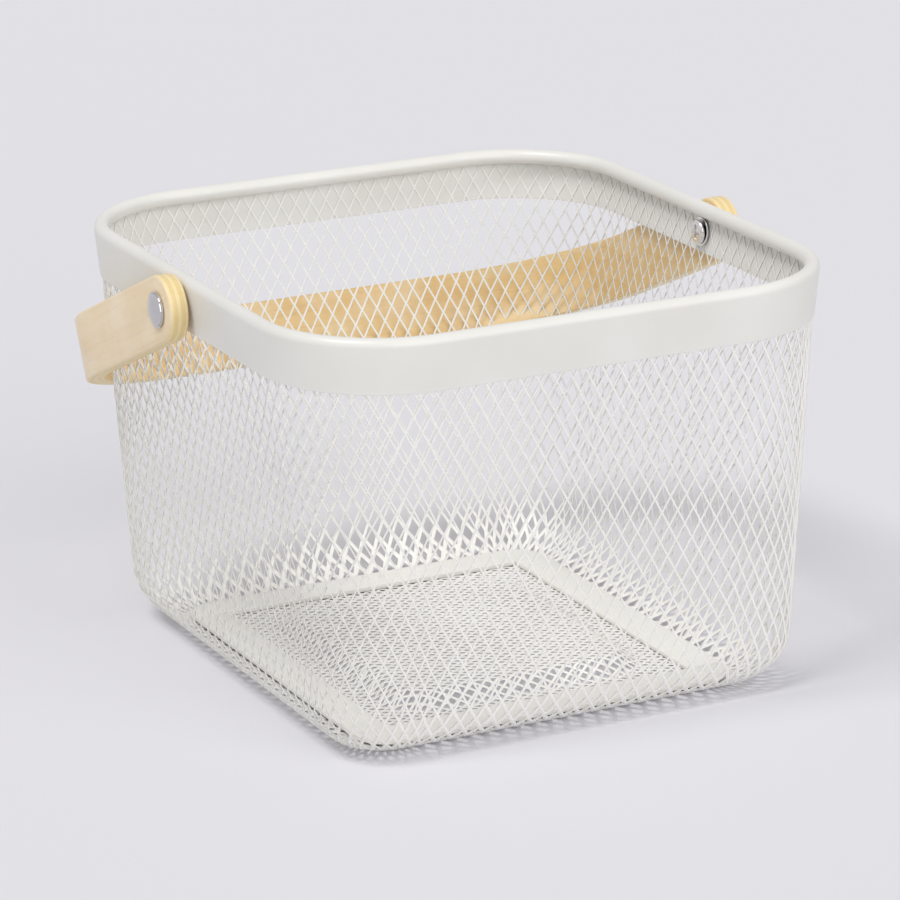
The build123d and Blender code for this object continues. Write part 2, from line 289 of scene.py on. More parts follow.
    def smooth(self, angle: float) -> "Workpiece":
        """Shades smooth across edges flatter than an angle in degrees."""
        self.take_up()
        bpy.ops.object.shade_smooth_by_angle(angle=math.radians(angle))
        bpy.ops.object.mode_set(mode="EDIT")
        return self

    def copy(self, name: str) -> "Workpiece":
        """Makes a copy with its own mesh, in edit mode."""
        self.take_up()
        bpy.ops.object.duplicate(linked=False)
        return Workpiece(name)

    def hand_over(self, body: Body, slot: Slot, material: bpy.types.Material, *nodes: str) -> None:
        """Takes the piece off the bench: dressed, on its body and in place of its CAD nodes.

        Args:
            body: The body that it rides on.
            slot: Not used; the material slot that its finish belongs to.
            material: Its material.
            nodes: CAD nodes that it stands for.
        """
        self.clear()
        self.object.data.materials.clear()
        self.object.data.materials.append(material)
        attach(self.object, body.value)
        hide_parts(*nodes)
        log.info("%s: %d faces", self.object.name, len(self.object.data.polygons))


# Finishes


class Recipe:
    """The nodes of one material, added and joined in turn."""

    # The Mix node's colour sockets go by number, as several of its sockets share a name
    mix_sides = (6, 7)
    mix_result = 2

    def __init__(self, name: str) -> None:
        """Starts a material."""
        self.material = bpy.data.materials.new(name)
        self.material.use_nodes = True
        self.tree = self.material.node_tree

    def add(self, kind: str, inputs: dict, **settings: object) -> bpy.types.Node:
        """Adds a node.

        Args:
            kind: The node's type.
            inputs: Values or output sockets for its inputs, by name or number.
            settings: The node's own options.

        Returns:
            The new node.
        """
        node = self.tree.nodes.new(kind)
        for name, value in settings.items():
            setattr(node, name, value)
        self.feed(node, inputs)
        return node

    def feed(self, node: bpy.types.Node, inputs: dict) -> None:
        """Gives a node's inputs their values or links, by name or number."""
        for name, value in inputs.items():
            if isinstance(value, Socket):
                self.tree.links.new(value, node.inputs[name])
            else:
                node.inputs[name].default_value = value

    def place(self) -> Socket:
        """Object coordinates, in metres."""
        return self.add("ShaderNodeTexCoord", {}).outputs["Object"]

    def noise(self, vector: Socket, scale: float, detail: float, roughness: float = 0.5) -> Socket:
        """Noise between 0 and 1, its scale in lumps to a metre."""
        inputs = {"Vector": vector, "Scale": scale, "Detail": detail, "Roughness": roughness}
        return self.add("ShaderNodeTexNoise", inputs).outputs["Fac"]

    def grain(self, vector: Socket, scale: Point, detail: float, roughness: float = 0.5) -> Socket:
        """Noise between 0 and 1, with its own lumps to a metre along each axis."""
        mapped = self.add("ShaderNodeMapping", {"Vector": vector, "Scale": scale})
        return self.noise(mapped.outputs["Vector"], 1.0, detail, roughness)

    def math(self, operation: str, first: Socket, last: object) -> Socket:
        """Result of an operation on two values."""
        return self.add("ShaderNodeMath", {0: first, 1: last}, operation=operation).outputs[0]

    def remap(self, value: Socket, start: Pair, end: Pair) -> Socket:
        """Sends the start range to the end range, clamped."""
        inputs = {"Value": value, "From Min": start[0], "From Max": start[1]}
        inputs.update({"To Min": end[0], "To Max": end[1]})
        return self.add("ShaderNodeMapRange", inputs).outputs["Result"]

    def blend(self, factor: Socket, first: object, last: object) -> Socket:
        """Mixes two colours, each as seen on screen or a socket; factor is the last one's share."""
        inputs = {0: factor}
        for socket, side in zip(self.mix_sides, (first, last)):
            inputs[socket] = side if isinstance(side, Socket) else tone(*side)
        return self.add("ShaderNodeMix", inputs, data_type="RGBA").outputs[self.mix_result]

    def mottle(self, value: Socket, span: Pair, most: float, first: object, last: object) -> Socket:
        """Mixes two colours by a value; over its span the last one's share grows to the most."""
        return self.blend(self.remap(value, span, (0.0, most)), first, last)

    def raised(self, height: Socket, depth: float, strength: float, under: object = None) -> Socket:
        """Normal of a bump, over a coarser one if that is given; depth in metres."""
        inputs = {"Height": height, "Distance": depth, "Strength": strength}
        if under is not None:
            inputs["Normal"] = under
        return self.add("ShaderNodeBump", inputs).outputs["Normal"]

    def done(self, inputs: dict) -> bpy.types.Material:
        """Feeds the shader and gives the finished material."""
        self.feed(self.tree.nodes["Principled BSDF"], inputs)
        return self.material


@dataclass(frozen=True)
class PowderCoat:
    """Warm off-white satin powder coat, with its fine orange peel."""

    name: str = "powder_coat"
    light: Colour = (230, 229, 224)
    dark: Colour = (225, 223, 217)
    cloud_scale: float = 26.0
    peel_scale: float = 620.0
    peel_depth: float = 0.00006
    grit_scale: float = 4200.0
    grit_depth: float = 0.00001
    gloss: Pair = (0.28, 0.38)

    def material(self) -> bpy.types.Material:
        """Makes the material."""
        recipe = Recipe(self.name)
        place = recipe.place()
        clouds = recipe.noise(place, self.cloud_scale, 3.0)
        peel = recipe.noise(place, self.peel_scale, 2.0, 0.4)
        grit = recipe.noise(place, self.grit_scale, 1.0)
        normal = recipe.raised(grit, self.grit_depth, 0.08, recipe.raised(peel, self.peel_depth, 0.14))
        inputs = {"Base Color": recipe.mottle(clouds, (0.3, 0.7), 1.0, self.light, self.dark)}
        inputs.update({"Roughness": recipe.remap(peel, (0.3, 0.7), self.gloss), "Normal": normal})
        return recipe.done(inputs)


@dataclass(frozen=True)
class BirchPlywood:
    """Clear lacquered birch plywood, with its plies on the edges and the grain lengthwise.

    The strap's own coordinates come from its attribute: along the strap, in from its outer
    face, and across its width.
    """

    name: str = "birch_plywood"
    place_name: str = "strap_place"
    sheet: float = 0.0082
    plies: int = 5
    glue_line: float = 0.00016
    wobble: float = 0.00018
    face_depth: Pair = (0.00035, 0.0006)
    outer_face: Colour = (241, 220, 182)
    outer_warm: Colour = (232, 203, 157)
    inner_face: Colour = (240, 209, 152)
    inner_warm: Colour = (226, 184, 116)
    long_ply: Colour = (243, 222, 168)
    cross_ply: Colour = (237, 211, 152)
    glue: Colour = (216, 184, 124)

    @staticmethod
    def veneer(recipe: Recipe, place: Socket, pale: Colour, warm: Colour) -> Socket:
        """Colour of a face veneer: broad rings, fine streaks and pale clouds along the grain.

        Args:
            recipe: The material in the making.
            place: The strap's own coordinates.
            pale: Colour of the early wood.
            warm: Colour of the late wood.

        Returns:
            The colour.
        """
        rings = recipe.grain(place, (9.0, 0.0, 60.0), 4.0, 0.6)
        streaks = recipe.grain(place, (22.0, 0.0, 620.0), 3.0, 0.6)
        clouds = recipe.grain(place, (42.0, 0.0, 66.0), 4.0, 0.6)
        colour = recipe.mottle(rings, (0.38, 0.66), 0.6, pale, warm)
        colour = recipe.mottle(streaks, (0.52, 0.8), 0.4, colour, mixed(warm, 0.9))
        return recipe.mottle(clouds, (0.42, 0.68), 0.5, colour, mixed(pale, 0.6, 255))

    def edge(self, recipe: Recipe, place: Socket, depth: Socket) -> Socket:
        """Colour of the edges: long and cross plies in turn, with glue lines between.

        Args:
            recipe: The material in the making.
            place: The strap's own coordinates.
            depth: Depth in from the outer face.

        Returns:
            The colour.
        """
        ply = self.sheet / self.plies
        waves = recipe.grain(place, (9.0, 0.0, 26.0), 2.0)
        level = recipe.math("ADD", depth, recipe.remap(waves, (0.0, 1.0), (-self.wobble, self.wobble)))
        within = recipe.math("PINGPONG", level, ply)
        near_line = recipe.remap(within, (0.0, self.glue_line), (1.0, 0.0))
        far_line = recipe.remap(within, (ply - self.glue_line, ply), (0.0, 1.0))
        is_cross = recipe.math("GREATER_THAN", recipe.math("MODULO", level, 2 * ply), ply)
        end_grain = recipe.grain(place, (1500.0, 900.0, 60.0), 2.0)
        long_grain = recipe.grain(place, (28.0, 1400.0, 900.0), 3.0, 0.6)
        cross = recipe.blend(end_grain, self.cross_ply, mixed(self.cross_ply, 0.93))
        along = recipe.blend(long_grain, self.long_ply, mixed(self.long_ply, 0.95))
        plies = recipe.blend(is_cross, along, cross)
        line = recipe.math("MAXIMUM", near_line, far_line)
        return recipe.mottle(line, (0.0, 1.0), 0.55, plies, self.glue)

    def material(self) -> bpy.types.Material:
        """Makes the material."""
        recipe = Recipe(self.name)
        place = recipe.add("ShaderNodeAttribute", {}, attribute_name=self.place_name).outputs["Vector"]
        depth = recipe.add("ShaderNodeSeparateXYZ", {"Vector": place}).outputs["Y"]
        thin, thick = self.face_depth
        outer = recipe.remap(depth, (thin, thick), (1.0, 0.0))
        inner = recipe.remap(depth, (self.sheet - thick, self.sheet - thin), (0.0, 1.0))
        outer_veneer = self.veneer(recipe, place, self.outer_face, self.outer_warm)
        inner_veneer = self.veneer(recipe, place, self.inner_face, self.inner_warm)
        colour = recipe.blend(outer, self.edge(recipe, place, depth), outer_veneer)
        streaks = recipe.grain(place, (16.0, 0.0, 620.0), 3.0, 0.6)
        pores = recipe.grain(place, (160.0, 2600.0, 2600.0), 2.0)
        normal = recipe.raised(recipe.remap(streaks, (0.3, 0.7), (0.0, 1.0)), 0.00008, 0.3)
        inputs = {"Base Color": recipe.blend(inner, colour, inner_veneer)}
        inputs["Roughness"] = recipe.remap(pores, (0.3, 0.7), (0.4, 0.54))
        inputs["Normal"] = recipe.raised(pores, 0.00004, 0.35, normal)
        inputs.update({"Coat Weight": 0.25, "Coat Roughness": 0.28})
        return recipe.done(inputs)


@dataclass(frozen=True)
class Plating:
    """Bright metal plating: a little cloudy, with a fine grain."""

    name: str
    colour: Colour
    shade: float
    clouds: Point
    cloud_span: Pair
    gloss: Pair
    grain: Point
    grain_depth: float
    grain_strength: float

    def material(self) -> bpy.types.Material:
        """Makes the material."""
        recipe = Recipe(self.name)
        place = recipe.place()
        clouds = recipe.noise(place, *self.clouds)
        grain = recipe.grain(place, self.grain, 2.0)
        colour = recipe.mottle(clouds, self.cloud_span, 1.0, self.colour, mixed(self.colour, self.shade))
        inputs = {"Base Color": colour, "Roughness": recipe.remap(clouds, (0.3, 0.7), self.gloss)}
        inputs["Normal"] = recipe.raised(grain, self.grain_depth, self.grain_strength)
        inputs["Metallic"] = 1.0
        return recipe.done(inputs)


BRIGHT_PLATING = Plating(
    name="bright_plating",
    colour=(206, 205, 206),
    shade=0.97,
    clouds=(420.0, 3.0, 0.5),
    cloud_span=(0.35, 0.7),
    gloss=(0.03, 0.07),
    grain=(9000.0, 900.0, 900.0),
    grain_depth=0.000004,
    grain_strength=0.1,
)
ZINC_PLATING = Plating(
    name="zinc_plating",
    colour=(234, 233, 231),
    shade=0.92,
    clouds=(700.0, 4.0, 0.6),
    cloud_span=(0.3, 0.7),
    gloss=(0.14, 0.24),
    grain=(5200.0, 5200.0, 5200.0),
    grain_depth=0.00002,
    grain_strength=0.3,
)


@dataclass(frozen=True)
class StudioPaper:
    """Pale lilac grey background paper."""

    name: str = "studio_paper"
    light: Colour = (225, 224, 229)
    dark: Colour = (224, 223, 228)
    tooth_scale: float = 900.0

    def material(self) -> bpy.types.Material:
        """Makes the material."""
        recipe = Recipe(self.name)
        tooth = recipe.noise(recipe.place(), self.tooth_scale, 2.0)
        colour = recipe.blend(tooth, self.light, self.dark)
        return recipe.done({"Base Color": colour, "Roughness": 1.0, "Specular IOR Level": 0.0})


# The basket's outline


@dataclass(frozen=True)
class BasketForm:
    """The walls' outline: a rounded rectangle in plan, leaning out, with a large bend at the foot.

    In a profile, s is measured outwards from a corner's upright axis.
    """

    width: float = 0.250
    depth: float = 0.267
    height: float = 0.184
    corner_radius: float = 0.0555
    lean: float = math.radians(5.65)
    middle_y: float = -0.005171
    band_height: float = 0.023
    band_sheet: float = 0.001
    curl_radius: float = 0.0033
    curl_turn: float = math.radians(300)
    mesh_depth: float = 0.0011
    bend_radius: float = 0.0248
    pivot_height: float = 0.1705
    corner_tightening: float = 0.016

    @property
    def axis_x(self) -> float:
        """Half the distance between corner axes, across."""
        return self.width / 2 - self.corner_radius

    @property
    def axis_y(self) -> float:
        """Half the distance between corner axes, front to back."""
        return self.depth / 2 - self.corner_radius

    @property
    def band_z(self) -> float:
        """Height of the band's lower edge."""
        return self.height - self.band_height

    @property
    def bend_z(self) -> float:
        """Height at which the wall meets the bend at the foot."""
        return self.bend_radius * (1 + self.outwards[1])

    @property
    def outwards(self) -> Pair:
        """The wall's outward normal in a profile."""
        return math.cos(self.lean), -math.sin(self.lean)

    def wall_point(self, depth: float, drop: float) -> Pair:
        """s and z at a depth in from the band's face, and a drop down the slope from the curl."""
        out_s, out_z = self.outwards
        reach = self.curl_radius - depth
        point_s = self.corner_radius - self.curl_radius + reach * out_s + drop * out_z
        point_z = self.height - self.curl_radius + reach * out_z - drop * out_s
        return point_s, point_z

    def drop_to(self, height: float, depth: float) -> float:
        """Drop at which a line at this depth reaches a height."""
        return (self.wall_point(depth, 0)[1] - height) / self.outwards[0]

    @property
    def bend_drop(self) -> float:
        """Drop at which the wall meets the bend at the foot."""
        return self.drop_to(self.bend_z, self.mesh_depth)

    @property
    def bend_s(self) -> float:
        """s of the bend's centre."""
        out_s, out_z = self.outwards
        point_s, point_z = self.wall_point(self.mesh_depth, 0)
        along = out_s * point_s + out_z * point_z
        return (along - self.bend_radius - self.bend_radius * out_z) / out_s

    def tightened(self, turn: np.ndarray, reach: np.ndarray, shift: np.ndarray) -> np.ndarray:
        """Reach of points on a corner whose plan radius is smaller than their s.

        Args:
            turn: Angle of each point round the corner, from 0 to a quarter turn.
            reach: s of each point.
            shift: How much smaller the corner's radius is.

        Returns:
            Distance of each point from the corner's axis.
        """
        along = np.cos(turn)
        across = np.sin(turn)
        radius = reach - shift
        middle = shift * (along + across)
        left = np.maximum(radius ** 2 - 2 * shift ** 2 + middle ** 2, 0)
        rounded = middle + np.sqrt(left)
        on_first = across * reach < shift * along
        on_last = along * reach < shift * across
        flat = reach / np.maximum(along, across)
        return np.where(on_first | on_last, flat, rounded)

    def tightening(self, height: np.ndarray) -> np.ndarray:
        """How much smaller than s the corners' radius is: nothing at the band, most above the bend."""
        down = np.clip((self.band_z - height) / (self.band_z - self.bend_z), 0, 1)
        inwards = 1 - np.minimum(height, self.bend_z) / self.bend_radius
        around_bend = np.sqrt(np.maximum(1 - inwards ** 2, 0))
        return self.corner_tightening * down * around_bend / self.outwards[0]

    def length_round(self, base: float) -> float:
        """Length round the basket where s is the base."""
        return 4 * self.axis_x + 4 * self.axis_y + 2 * math.pi * base

    def around(
        self, length: np.ndarray, reach: np.ndarray, base: float, height: np.ndarray
    ) -> np.ndarray:
        """Points in plan at a length round the basket, counter-clockwise from the back's middle.

        Args:
            length: Length round the basket where s is the base.
            reach: s of each point.
            base: The s at which length is measured.
            height: z of each point.

        Returns:
            x and y of each point.
        """
        arc = base * math.pi / 2
        length = np.mod(length + self.axis_x, self.length_round(base))
        start = 0.0
        plan = np.zeros((len(length), 2))
        for number, (side_x, side_y) in enumerate(((1, 1), (-1, 1), (-1, -1), (1, -1))):
            flat = 2 * (self.axis_x if number % 2 == 0 else self.axis_y)
            facing = math.pi / 2 * (number + 1)
            anchor = np.array([side_x * self.axis_x, side_y * self.axis_y])
            here = (length >= start - SAME) & (length <= start + flat)
            along = (length[here] - start)[:, None]
            ahead = np.array([-math.sin(facing), math.cos(facing)])
            out = np.array([math.cos(facing), math.sin(facing)])
            plan[here] = anchor + along * ahead + reach[here][:, None] * out
            start += flat
            here = (length > start) & (length < start + arc)
            share = (length[here] - start) / base
            turn = facing + share
            spread = np.stack([np.cos(turn), np.sin(turn)], axis=1)
            far = self.tightened(share, reach[here], self.tightening(height[here]))
            plan[here] = anchor + flat * ahead + far[:, None] * spread
            start += arc
        plan[:, 1] += self.middle_y
        return plan

    def corner_reach(self, point: Vector) -> float:
        """How far a point lies outside the rectangle of the corner axes."""
        over_x = abs(point.x) - self.axis_x
        over_y = abs(point.y - self.middle_y) - self.axis_y
        if over_x > 0 and over_y > 0:
            return math.hypot(over_x, over_y)
        return max(over_x, over_y)


@dataclass
class DiamondNet:
    """Expanded sheet: diamonds set out on a grid, opened, twisted and given their thickness."""

    name: str
    columns: int
    rows: int
    wide: float
    tall: float
    strand: float
    twist: float
    closed: bool
    sheet: float = 0.0004
    soft_angle: float = 100.0
    form: BasketForm = field(default_factory=BasketForm)

    def place(self, points: np.ndarray) -> np.ndarray:
        """Sends points of the flat grid to the shaped sheet; each net has its own."""
        raise NotImplementedError

    def upward(self, point: Vector) -> float:
        """How far up the long way of the diamonds a point is; each net has its own."""
        raise NotImplementedError

    def twist_at(self, point: Vector) -> float:
        """How far the strands lean out of the sheet here; each net has its own."""
        raise NotImplementedError

    def closing_at(self, point: Vector) -> float:
        """Share by which an opening here is smaller; at 1 it is left shut."""
        return 0.0

    def trim(self, piece: Workpiece) -> None:
        """Cuts the flat sheet to shape before it is opened."""

    def set_out(self) -> Workpiece:
        """Sets out the closed diamonds.

        Returns:
            A sheet of diamond faces, half ones at its borders.
        """
        piece = Workpiece.grid(self.name, self.columns, self.rows, self.wide, self.tall)
        piece.pick_all()
        bpy.ops.mesh.poke()
        if self.closed:
            piece.pick("FACE", lambda face: face.calc_center_median().x < self.wide / 4)
            bpy.ops.mesh.split()
            bpy.ops.transform.translate(value=(self.columns * self.wide, 0, 0))
            piece.pick_all()
            piece.weld()
        tiny = min(self.wide, self.tall) / 100

        def grid_line(edge: Edge) -> bool:
            run = run_of(edge)
            return min(run.x, run.y) < tiny and len(edge.link_faces) == 2

        piece.pick("EDGE", grid_line)
        bpy.ops.mesh.dissolve_edges(use_verts=False)
        return piece

    def open_diamonds(self, piece: Workpiece) -> None:
        """Insets every diamond, twists its strands and takes its middle out.

        Args:
            piece: The shaped sheet of closed diamonds.
        """
        bpy.ops.mesh.select_mode(type="FACE")
        piece.pick_all()
        bpy.ops.mesh.inset(thickness=self.strand / 2, use_individual=True, use_even_offset=True)
        mesh = bmesh.from_edit_mesh(piece.object.data)
        for face in [face for face in mesh.faces if face.select]:
            middle = face.calc_center_median()
            closing = self.closing_at(middle)
            if closing >= 1:
                face.select_set(False)
                continue
            corners = list(face.verts)
            for corner in corners:
                corner.co += (middle - corner.co) * closing
            if len(corners) == 4:
                top = max(range(4), key=lambda number: self.upward(corners[number].co))
                lift = face.normal * self.twist_at(middle)
                corners[(top + 1) % 4].co += lift
                corners[(top + 3) % 4].co -= lift
        bmesh.update_edit_mesh(piece.object.data)
        bpy.ops.mesh.delete(type="FACE")

    def build(self) -> Workpiece:
        """Makes the net."""
        piece = self.set_out()
        self.trim(piece)
        piece.place_points(self.place)
        piece.pick_all()
        piece.weld(TOUCH)
        self.open_diamonds(piece)
        piece.modifier("SOLIDIFY", thickness=self.sheet, offset=0.0, use_even_offset=True)
        return piece.smooth(self.soft_angle)


@dataclass
class WallNet(DiamondNet):
    """The walls: one sheet of tall diamonds round the basket, bent under at the foot."""

    name: str = "wall_mesh"
    columns: int = 126
    rows: int = 15
    wide: float = field(init=False)
    tall: float = 0.0131
    strand: float = 0.00066
    twist: float = 0.00036
    closed: bool = True
    top_drop: float = 0.0036
    middle_depth: float = 0.00115
    floor_gap: float = 0.0001
    shut_height: float = 0.0006
    bend_closing: float = 0.32
    flat_height: float = 0.001
    twist_rise: float = 0.012
    band_fade: float = 0.008
    band_twist: float = 0.2

    def __post_init__(self) -> None:
        """Makes the diamonds as wide as they have to be to meet round the basket."""
        self.wide = self.form.length_round(self.base) / self.columns

    @property
    def base(self) -> float:
        """s of the sheet's top edge, where its width is measured."""
        return self.form.wall_point(self.middle_depth, self.top_drop)[0]

    def run_point(self, run: np.ndarray) -> tuple[np.ndarray, np.ndarray]:
        """Profile of the sheet's middle.

        Args:
            run: Length down the sheet from its top edge.

        Returns:
            s and z of each point.
        """
        form = self.form
        slope = form.bend_drop - self.top_drop
        radius = form.bend_radius - (self.middle_depth - form.mesh_depth)
        quarter = math.pi / 2 - form.lean
        out_s, out_z = form.outwards
        start_s, start_z = form.wall_point(self.middle_depth, self.top_drop)
        down = np.minimum(run, slope)
        turn = np.clip((run - slope) / radius, 0, quarter)
        flat = form.bend_radius - self.sheet / 2 - self.floor_gap
        reach = radius + (flat - radius) * turn / quarter
        bent = run > slope
        bent_s = form.bend_s + reach * np.cos(form.lean + turn)
        bent_z = form.bend_radius - reach * np.sin(form.lean + turn)
        flange = np.maximum(run - slope - radius * quarter, 0)
        point_s = np.where(bent, bent_s, start_s + down * out_z)
        return point_s - flange, np.where(bent, bent_z, start_z - down * out_s)

    def place(self, points: np.ndarray) -> np.ndarray:
        """Wraps the flat sheet round the basket."""
        reach, height = self.run_point(self.rows * self.tall - points[:, 1])
        plan = self.form.around(points[:, 0], reach, self.base, height)
        return np.column_stack([plan, height])

    def upward(self, point: Vector) -> float:
        """Up the wall and out along the bend."""
        return point.z + self.form.corner_reach(point)

    def twist_at(self, point: Vector) -> float:
        """The strands lie nearly flat behind the band, and flat under the floor."""
        foot = min(1.0, max(0.0, (point.z - self.flat_height) / self.twist_rise))
        below_band = (self.form.band_z - point.z) / self.band_fade
        return self.twist * foot * min(1.0, max(self.band_twist, below_band))

    def closing_at(self, point: Vector) -> float:
        """The openings get smaller round the bend, and the flange under the floor is shut."""
        if point.z < self.shut_height:
            return 1.0
        radius = self.form.bend_radius
        return self.bend_closing * min(1.0, max(0.0, (radius - point.z) / radius))


@dataclass
class FloorNet(DiamondNet):
    """The floor panel: one sheet of fine diamonds, pressed up in the middle."""

    name: str = "floor_mesh"
    columns: int = 26
    rows: int = 45
    wide: float = 0.163 / columns
    tall: float = 0.180 / rows
    strand: float = 0.00112
    twist: float = -0.00006
    closed: bool = False
    level: float = 0.0014
    step: float = 0.006
    step_rounding: float = 0.35
    foot_x: float = 0.0605
    foot_y: float = 0.069
    foot_round: float = 0.0202
    slope_run: float = 0.009
    edge_reach: float = 0.012
    wave_x: Pair = (71.0, 1.3)
    wave_y: Pair = (64.0, 0.4)

    def place(self, points: np.ndarray) -> np.ndarray:
        """Centres the sheet under the basket and presses its middle up."""
        plan_x = points[:, 0] - self.columns * self.wide / 2
        plan_y = points[:, 1] - self.rows * self.tall / 2
        over_x = np.abs(plan_x) - (self.foot_x - self.foot_round)
        over_y = np.abs(plan_y) - (self.foot_y - self.foot_round)
        outside = np.hypot(np.maximum(over_x, 0), np.maximum(over_y, 0))
        inside = np.minimum(np.maximum(over_x, over_y), 0)
        share = np.clip((self.foot_round - outside - inside) / self.slope_run, 0, 1)
        rounded = share * share * (3 - 2 * share)
        rise = self.step * (rounded * self.step_rounding + share * (1 - self.step_rounding))
        return np.column_stack([plan_x, plan_y + self.form.middle_y, self.level + rise])

    def upward(self, point: Vector) -> float:
        """The long way of the fine diamonds runs across the basket."""
        return point.x

    def twist_at(self, point: Vector) -> float:
        """The fine sheet isn't quite even: its strands lean more in some places than in others."""
        wave = math.sin(point.x * self.wave_x[0] + self.wave_x[1])
        wave *= math.sin(point.y * self.wave_y[0] + self.wave_y[1])
        return self.twist * (1.0 + wave)

    def trim(self, piece: Workpiece) -> None:
        """Cuts the four corners off, clear of the bend at the foot."""
        half_x = self.columns * self.wide / 2
        half_y = self.rows * self.tall / 2
        inset = self.edge_reach * (1 - math.sqrt(0.5))
        for side_x in (-1, 1):
            for side_y in (-1, 1):
                piece.pick_all()
                corner_x = half_x * (1 + side_x) - side_x * inset
                corner_y = half_y * (1 + side_y) - side_y * inset
                facing = (side_x, side_y, 0)
                bpy.ops.mesh.bisect(plane_co=(corner_x, corner_y, 0), plane_no=facing, clear_outer=True)


@dataclass
class RimBand:
    """The sheet band round the top, with its rolled edge."""

    form: BasketForm = field(default_factory=BasketForm)
    corner_steps: int = 22
    outer_steps: int = 26
    inner_steps: int = 18
    edge_round: float = 0.0002
    soft_angle: float = 40.0

    def profile(self) -> list[Pair]:
        """Closed outline of the band's section, as s and z."""
        form = self.form
        drop = form.drop_to(form.band_z, 0)
        sheet = form.band_sheet
        soft = self.edge_round
        points = [form.wall_point(sheet - soft, drop), form.wall_point(soft, drop)]
        points += [form.wall_point(0, drop - soft), form.wall_point(0, drop / 2)]
        centre_s = form.corner_radius - form.curl_radius
        centre_z = form.height - form.curl_radius
        outer = [number / self.outer_steps for number in range(self.outer_steps + 1)]
        inner = [1 - number / self.inner_steps for number in range(self.inner_steps + 1)]
        for radius, shares in ((form.curl_radius, outer), (form.curl_radius - sheet, inner)):
            for share in shares:
                angle = share * form.curl_turn - form.lean
                points.append((centre_s + radius * math.cos(angle), centre_z + radius * math.sin(angle)))
        points += [form.wall_point(sheet, drop / 2), form.wall_point(sheet, drop - soft)]
        return points

    def build(self) -> Workpiece:
        """Runs the section round the basket."""
        form = self.form
        start_y = form.middle_y - form.axis_y
        outline = self.profile()
        outline.append(outline[0])
        points = [(form.axis_x + reach, start_y, height) for reach, height in outline]
        piece = Workpiece.line("rolled_rim_band", points)
        piece.pick_all()
        steps = (((0, 1), (1, 1)), ((-1, 0), (-1, 1)), ((0, -1), (-1, -1)), ((1, 0), (1, -1)))
        for (ahead_x, ahead_y), (side_x, side_y) in steps:
            piece.run_on((2 * form.axis_x * ahead_x, 2 * form.axis_y * ahead_y, 0))
            centre = (side_x * form.axis_x, form.middle_y + side_y * form.axis_y, 0)
            piece.turn_on(centre, (0, 0, 1), math.pi / 2, self.corner_steps)
        piece.close_up()
        return piece.smooth(self.soft_angle)


@dataclass
class BaseFrame:
    """Four flat strips that hold the floor panel down."""

    form: BasketForm = field(default_factory=BasketForm)
    low: float = 0.0018
    high: float = 0.0038
    overhang: float = 0.018
    strip_width: float = 0.0165
    joint_gap: float = 0.0003
    edge_round: float = 0.00045
    edge_steps: int = 3
    corner_share: float = 0.985
    corner_steps: int = 14
    soft_angle: float = 35.0

    def strip(self, name: str, across: Sequence[float], along: Sequence[float]) -> Workpiece:
        """Starts a strip between two ends in x, and two in y from the basket's middle."""
        low_x, high_x = sorted(across)
        low_y, high_y = (self.form.middle_y + end for end in sorted(along))
        return Workpiece.block(name, (low_x, low_y, self.low), (high_x, high_y, self.high))

    def end_strip(self, name: str, side: int) -> Workpiece:
        """Front or back strip, rounded at its two outer corners.

        Args:
            name: Name of the piece.
            side: -1 for the front, 1 for the back.

        Returns:
            The finished piece.
        """
        half = self.form.axis_x + self.overhang
        outer = self.form.axis_y + self.overhang
        piece = self.strip(name, (-half, half), (side * outer, side * (outer - self.strip_width)))
        edge_y = self.form.middle_y + side * outer

        def outer_corner(edge: Edge) -> bool:
            return run_of(edge).z > self.edge_round and abs(edge.verts[0].co.y - edge_y) < TOUCH

        piece.pick("EDGE", outer_corner)
        piece.round_edges(self.strip_width * self.corner_share, self.corner_steps)
        return self.soften(piece)

    def side_strip(self, name: str, side: int) -> Workpiece:
        """Left strip for side -1 or right one for side 1, between the other two."""
        outer = self.form.axis_x + self.overhang
        half = self.form.axis_y + self.overhang - self.strip_width - self.joint_gap
        piece = self.strip(name, (side * outer, side * (outer - self.strip_width)), (-half, half))
        return self.soften(piece)

    def soften(self, piece: Workpiece) -> Workpiece:
        """Rounds the strip's rims and shades it."""
        piece.pick("EDGE", lambda edge: run_of(edge).z < TOUCH)
        piece.round_edges(self.edge_round, self.edge_steps)
        return piece.smooth(self.soft_angle)

    def build(self) -> dict[str, Workpiece]:
        """Makes the four strips, each under the name of its CAD node."""
        return {
            "base_strip_front": self.end_strip("front_strip", -1),
            "base_strip_back": self.end_strip("back_strip", 1),
            "base_strip_left": self.side_strip("left_strip", -1),
            "base_strip_right": self.side_strip("right_strip", 1),
        }


